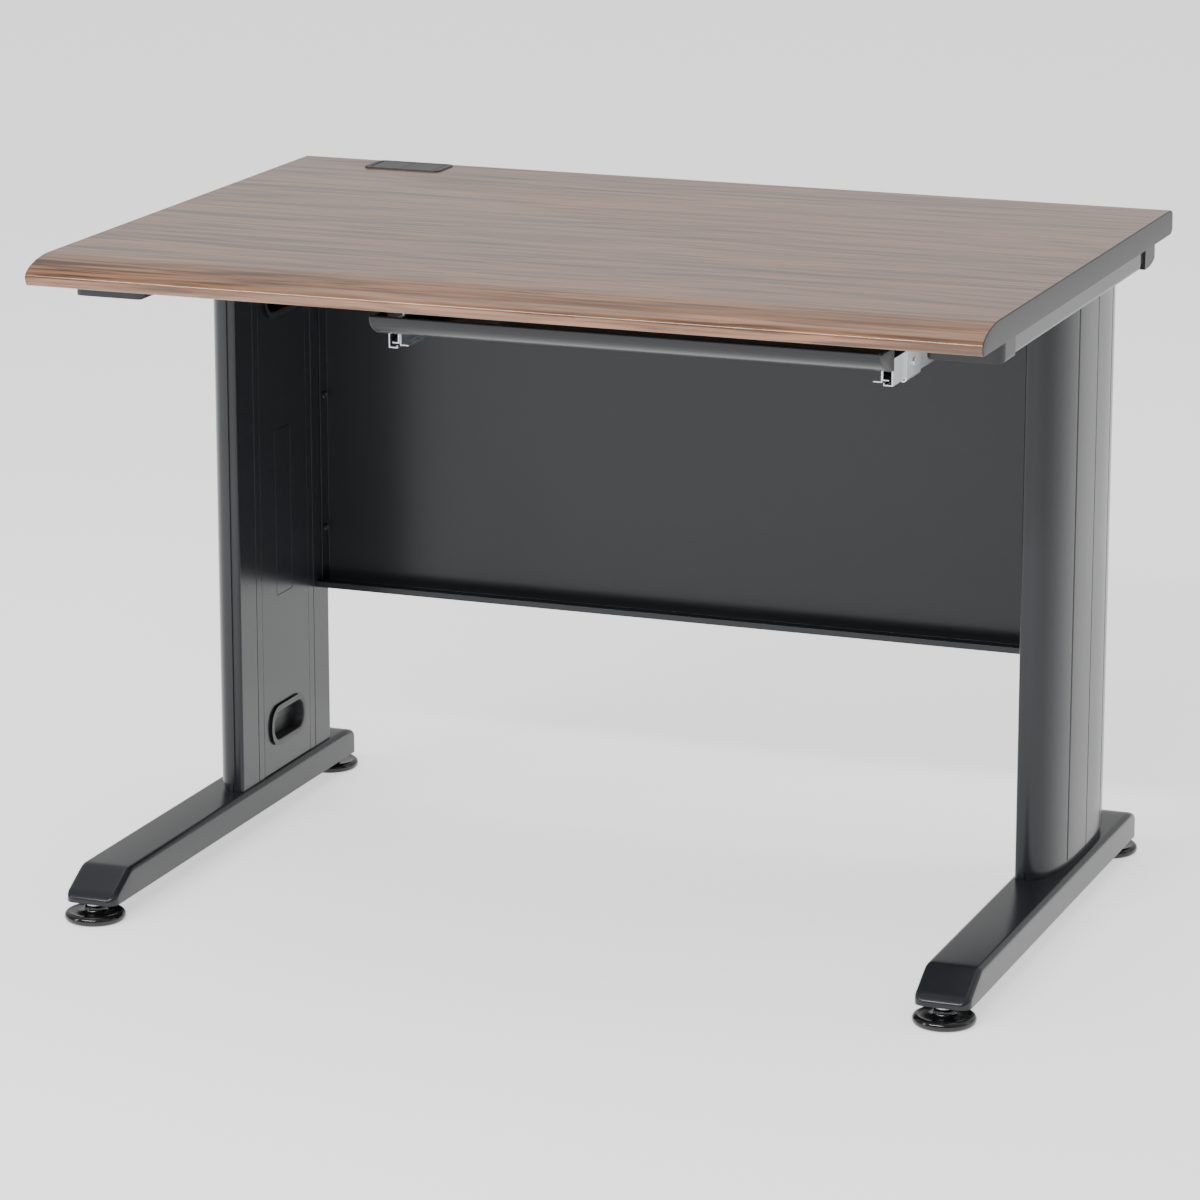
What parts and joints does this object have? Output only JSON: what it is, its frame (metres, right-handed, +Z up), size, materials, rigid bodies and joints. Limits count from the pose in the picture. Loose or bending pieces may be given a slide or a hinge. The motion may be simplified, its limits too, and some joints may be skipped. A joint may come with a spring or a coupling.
{
  "type": "computer desk",
  "caption": "Computer desk with a rounded-front top, bowed steel legs on flat feet, a modesty panel, a cable outlet and a keyboard tray that slides out.",
  "frame": {"origin": "on the floor under the middle of the desk's box", "axes": "+X along the width, to the right of a person sitting at the desk; +Y to the back; +Z up"},
  "size_m": [1, 0.7, 0.7016],
  "materials": {
    "walnut_laminate": "satin laminate, grain along the width",
    "edge_banding": "matt edge banding",
    "powder_coated_steel": "fine satin powder coat",
    "grey_plastic": "fine moulded grain",
    "black_plastic": "glossy moulded",
    "zinc_plate": "bright zinc plate",
    "fastener_steel": "zinc plated"
  },
  "bodies": {
    "frame": {"tabletop_board": "walnut_laminate", "edge_band_left": "edge_banding", "edge_band_right": "edge_banding", "edge_band_rear": "edge_banding", "top_arm_left": "powder_coated_steel", "top_arm_right": "powder_coated_steel", "arm_cap_front_left": "grey_plastic", "arm_cap_front_right": "grey_plastic", "arm_cap_rear_left": "grey_plastic", "arm_cap_rear_right": "grey_plastic", "leg_shell_left": "powder_coated_steel", "leg_shell_right": "powder_coated_steel", "leg_channel_left": "powder_coated_steel", "leg_channel_right": "powder_coated_steel", "cover_hinge_pins": "fastener_steel", "leg_base_plate_left": "powder_coated_steel", "leg_base_plate_right": "powder_coated_steel", "leg_top_plate_left": "powder_coated_steel", "leg_top_plate_right": "powder_coated_steel", "base_beam_left": "powder_coated_steel", "base_beam_right": "powder_coated_steel", "level_inserts": "fastener_steel", "modesty_panel": "powder_coated_steel", "outlet_frame": "grey_plastic", "slide_outer_left": "zinc_plate", "slide_outer_right": "zinc_plate", "slide_brackets_left": "zinc_plate", "slide_brackets_right": "zinc_plate", "tabletop_screws": "fastener_steel", "bracket_screws": "fastener_steel", "bracket_rivets": "fastener_steel", "modesty_screws": "fastener_steel", "leg_bolts": "fastener_steel", "arm_bolts": "fastener_steel"},
    "keyboard_tray": {"tray_pan": "powder_coated_steel", "tray_end_left": "grey_plastic", "tray_end_right": "grey_plastic", "tray_runner_left": "zinc_plate", "tray_runner_right": "zinc_plate", "slide_inner_left": "zinc_plate", "slide_inner_right": "zinc_plate", "tray_screws": "fastener_steel"},
    "slide_cage_left": {"ball_cage_left": "zinc_plate"},
    "leg_cover_left": {"leg_cover_left": "powder_coated_steel", "finger_pull_left": "grey_plastic", "cable_port_left": "grey_plastic"},
    "outlet_lid_left": {"outlet_lid_left": "grey_plastic"},
    "foot_stem_front_left": {"level_stem_front_left": "fastener_steel"},
    "foot_pad_front_left": {"level_pad_front_left": "black_plastic"},
    "foot_stem_rear_left": {"level_stem_rear_left": "fastener_steel"},
    "foot_pad_rear_left": {"level_pad_rear_left": "black_plastic"},
    "slide_cage_right": {"ball_cage_right": "zinc_plate"},
    "leg_cover_right": {"leg_cover_right": "powder_coated_steel", "finger_pull_right": "grey_plastic", "cable_port_right": "grey_plastic"},
    "outlet_lid_right": {"outlet_lid_right": "grey_plastic"},
    "foot_stem_front_right": {"level_stem_front_right": "fastener_steel"},
    "foot_pad_front_right": {"level_pad_front_right": "black_plastic"},
    "foot_stem_rear_right": {"level_stem_rear_right": "fastener_steel"},
    "foot_pad_rear_right": {"level_pad_rear_right": "black_plastic"}
  },
  "joints": [
    {"name": "tray_slide", "type": "slide", "parent": "frame", "child": "keyboard_tray", "axis": [0, -1, 0], "range_m": [0, 0.28]},
    {"name": "slide_cage_left_travel", "type": "slide", "parent": "frame", "child": "slide_cage_left", "axis": [0, -1, 0], "range_m": [0, 0.14]},
    {"name": "slide_cage_right_travel", "type": "slide", "parent": "frame", "child": "slide_cage_right", "axis": [0, -1, 0], "range_m": [0, 0.14]},
    {"name": "leg_cover_left_hinge", "type": "hinge", "parent": "frame", "child": "leg_cover_left", "pos_m": [-0.4386, 0.1285, 0.6405], "axis": [0, -1, 0], "range_deg": [0, 30]},
    {"name": "leg_cover_right_hinge", "type": "hinge", "parent": "frame", "child": "leg_cover_right", "pos_m": [0.4386, 0.1285, 0.6405], "axis": [0, 1, 0], "range_deg": [0, 30]},
    {"name": "outlet_lid_left_hinge", "type": "hinge", "parent": "frame", "child": "outlet_lid_left", "pos_m": [-0.399, 0.3115, 0.6994], "axis": [0, -1, 0], "range_deg": [0, 90]},
    {"name": "outlet_lid_right_hinge", "type": "hinge", "parent": "frame", "child": "outlet_lid_right", "pos_m": [-0.326, 0.3115, 0.6994], "axis": [0, 1, 0], "range_deg": [0, 90]},
    {"name": "foot_front_left_rise", "type": "slide", "parent": "frame", "child": "foot_stem_front_left", "axis": [0, 0, -1], "range_m": [0, 0.008]},
    {"name": "foot_front_left_turn", "type": "hinge", "parent": "foot_stem_front_left", "child": "foot_pad_front_left", "pos_m": [-0.461, -0.308, 0], "axis": [0, 0, 1], "range_deg": [0, 1920]},
    {"name": "foot_rear_left_rise", "type": "slide", "parent": "frame", "child": "foot_stem_rear_left", "axis": [0, 0, -1], "range_m": [0, 0.008]},
    {"name": "foot_rear_left_turn", "type": "hinge", "parent": "foot_stem_rear_left", "child": "foot_pad_rear_left", "pos_m": [-0.461, 0.296, 0], "axis": [0, 0, 1], "range_deg": [0, 1920]},
    {"name": "foot_front_right_rise", "type": "slide", "parent": "frame", "child": "foot_stem_front_right", "axis": [0, 0, -1], "range_m": [0, 0.008]},
    {"name": "foot_front_right_turn", "type": "hinge", "parent": "foot_stem_front_right", "child": "foot_pad_front_right", "pos_m": [0.461, -0.308, 0], "axis": [0, 0, 1], "range_deg": [0, 1920]},
    {"name": "foot_rear_right_rise", "type": "slide", "parent": "frame", "child": "foot_stem_rear_right", "axis": [0, 0, -1], "range_m": [0, 0.008]},
    {"name": "foot_rear_right_turn", "type": "hinge", "parent": "foot_stem_rear_right", "child": "foot_pad_rear_right", "pos_m": [0.461, 0.296, 0], "axis": [0, 0, 1], "range_deg": [0, 1920]}
  ],
  "couplings": [
    {"joint": "slide_cage_left_travel", "follows": "tray_slide", "ratio": 0.5},
    {"joint": "slide_cage_right_travel", "follows": "tray_slide", "ratio": 0.5},
    {"joint": "foot_front_left_turn", "follows": "foot_front_left_rise", "rad_per_m": 4188.7},
    {"joint": "foot_rear_left_turn", "follows": "foot_rear_left_rise", "rad_per_m": 4188.7},
    {"joint": "foot_front_right_turn", "follows": "foot_front_right_rise", "rad_per_m": 4188.7},
    {"joint": "foot_rear_right_turn", "follows": "foot_rear_right_rise", "rad_per_m": 4188.7}
  ]
}
